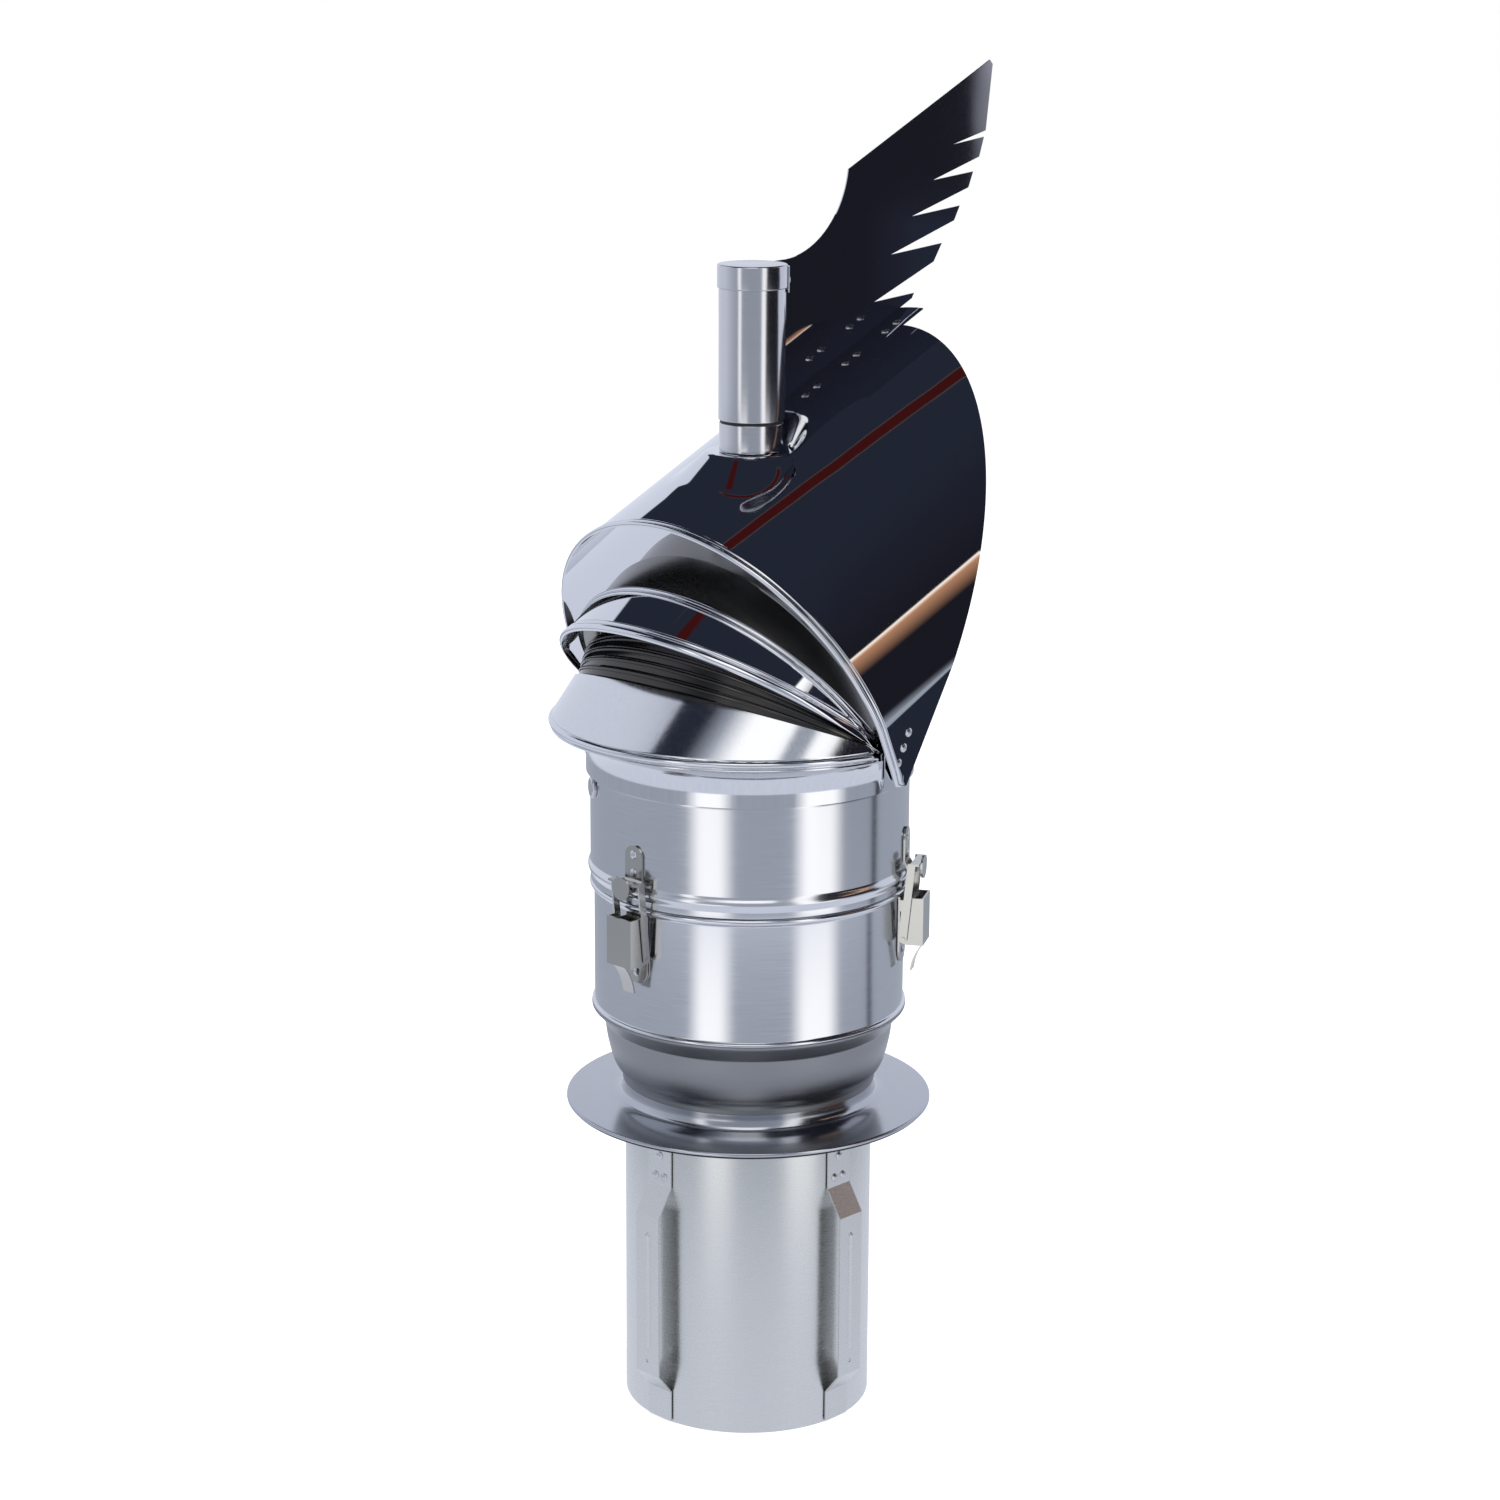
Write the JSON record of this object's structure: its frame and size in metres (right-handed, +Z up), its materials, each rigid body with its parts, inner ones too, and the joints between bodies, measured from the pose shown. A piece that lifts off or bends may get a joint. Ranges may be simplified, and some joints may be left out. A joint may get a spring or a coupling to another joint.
{
  "type": "rotating chimney cowl",
  "caption": "Wind-driven turning chimney cowl: visored hood and vane on a ball-bearing axle over a riveted drum with a sprung flue spigot.",
  "frame": {"origin": "on the turning axis, at the open lower end of the spigot", "axes": "+Z up along the turning axis; +X downwind, the way the hood's outlet and the vane point; +Y across"},
  "size_m": [0.3546, 0.251, 0.8025],
  "materials": {
    "polished_sheet": "mirror polished stainless sheet",
    "brushed_sheet": "satin, brushed along the wall",
    "satin_tube": "satin",
    "dark_seal": "matt",
    "turned_steel": "turned, half bright",
    "latch_steel": "bright pressed steel",
    "bearing_steel": "ground",
    "fixing_steel": "plain stainless fixings",
    "rivet_steel": "plain stainless rivets"
  },
  "bodies": {
    "base": {"axle": "fixing_steel", "axle_foot_nuts": "fixing_steel", "axle_top_nut": "fixing_steel", "axle_washers": "fixing_steel", "bar_bolts": "fixing_steel", "bar_nuts": "fixing_steel", "base_disc": "brushed_sheet", "bearing_bar": "bearing_steel", "disc_gasket": "dark_seal", "flue_spigot": "satin_tube", "inner_spacer": "bearing_steel", "keeper_rivets": "rivet_steel", "latch_keeper_1": "latch_steel", "latch_keeper_2": "latch_steel", "latch_keeper_3": "latch_steel", "latch_pivot_pin_1": "latch_steel", "latch_pivot_pin_2": "latch_steel", "latch_pivot_pin_3": "latch_steel", "latch_plate_1": "latch_steel", "latch_plate_2": "latch_steel", "latch_plate_3": "latch_steel", "latch_plate_rivets": "rivet_steel", "leaf_spring_1": "satin_tube", "leaf_spring_2": "satin_tube", "leaf_spring_3": "satin_tube", "leaf_spring_4": "satin_tube", "lower_bearing_inner_ring": "bearing_steel", "lower_drum": "brushed_sheet", "reducer": "brushed_sheet", "spring_rivets": "rivet_steel", "upper_bearing_inner_ring": "bearing_steel", "upper_drum": "brushed_sheet"},
    "head": {"bearing_tube": "turned_steel", "cap_rivet": "rivet_steel", "collar_seal": "dark_seal", "ear_rivets": "rivet_steel", "fin": "polished_sheet", "fin_rivets": "rivet_steel", "hood": "polished_sheet", "hood_collar": "turned_steel", "lower_bearing_balls": "bearing_steel", "lower_bearing_outer_ring": "bearing_steel", "lower_segment": "brushed_sheet", "middle_segment": "polished_sheet", "outer_spacer": "bearing_steel", "tube_cap": "turned_steel", "upper_bearing_balls": "bearing_steel", "upper_bearing_outer_ring": "bearing_steel"},
    "lever_1": {"latch_lever_1": "latch_steel", "latch_link_pin_1": "latch_steel"},
    "link_1": {"latch_link_1": "latch_steel"},
    "lever_2": {"latch_lever_2": "latch_steel", "latch_link_pin_2": "latch_steel"},
    "link_2": {"latch_link_2": "latch_steel"},
    "lever_3": {"latch_lever_3": "latch_steel", "latch_link_pin_3": "latch_steel"},
    "link_3": {"latch_link_3": "latch_steel"}
  },
  "joints": [
    {"name": "head_turn", "type": "hinge", "parent": "base", "child": "head", "pos_m": [0, 0, 0.6], "axis": [0, 0, 1], "continuous": true},
    {"name": "lever_1_turn", "type": "hinge", "parent": "base", "child": "lever_1", "pos_m": [-0.0994, 0, 0.3195], "axis": [0, 1, 0], "range_deg": [0, 60]},
    {"name": "link_1_turn", "type": "hinge", "parent": "lever_1", "child": "link_1", "pos_m": [-0.097, 0, 0.29964], "axis": [0, 1, 0], "range_deg": [-34, 0]},
    {"name": "lever_2_turn", "type": "hinge", "parent": "base", "child": "lever_2", "pos_m": [0.0497, -0.08608, 0.3195], "axis": [-0.866, -0.5, 0], "range_deg": [0, 60]},
    {"name": "link_2_turn", "type": "hinge", "parent": "lever_2", "child": "link_2", "pos_m": [0.0485, -0.084, 0.29964], "axis": [-0.866, -0.5, 0], "range_deg": [-34, 0]},
    {"name": "lever_3_turn", "type": "hinge", "parent": "base", "child": "lever_3", "pos_m": [0.0497, 0.08608, 0.3195], "axis": [0.866, -0.5, 0], "range_deg": [0, 60]},
    {"name": "link_3_turn", "type": "hinge", "parent": "lever_3", "child": "link_3", "pos_m": [0.0485, 0.084, 0.29964], "axis": [0.866, -0.5, 0], "range_deg": [-34, 0]}
  ],
  "couplings": [
    {"joint": "link_1_turn", "follows": "lever_1_turn", "ratio": -0.56},
    {"joint": "link_2_turn", "follows": "lever_2_turn", "ratio": -0.56},
    {"joint": "link_3_turn", "follows": "lever_3_turn", "ratio": -0.56}
  ]
}
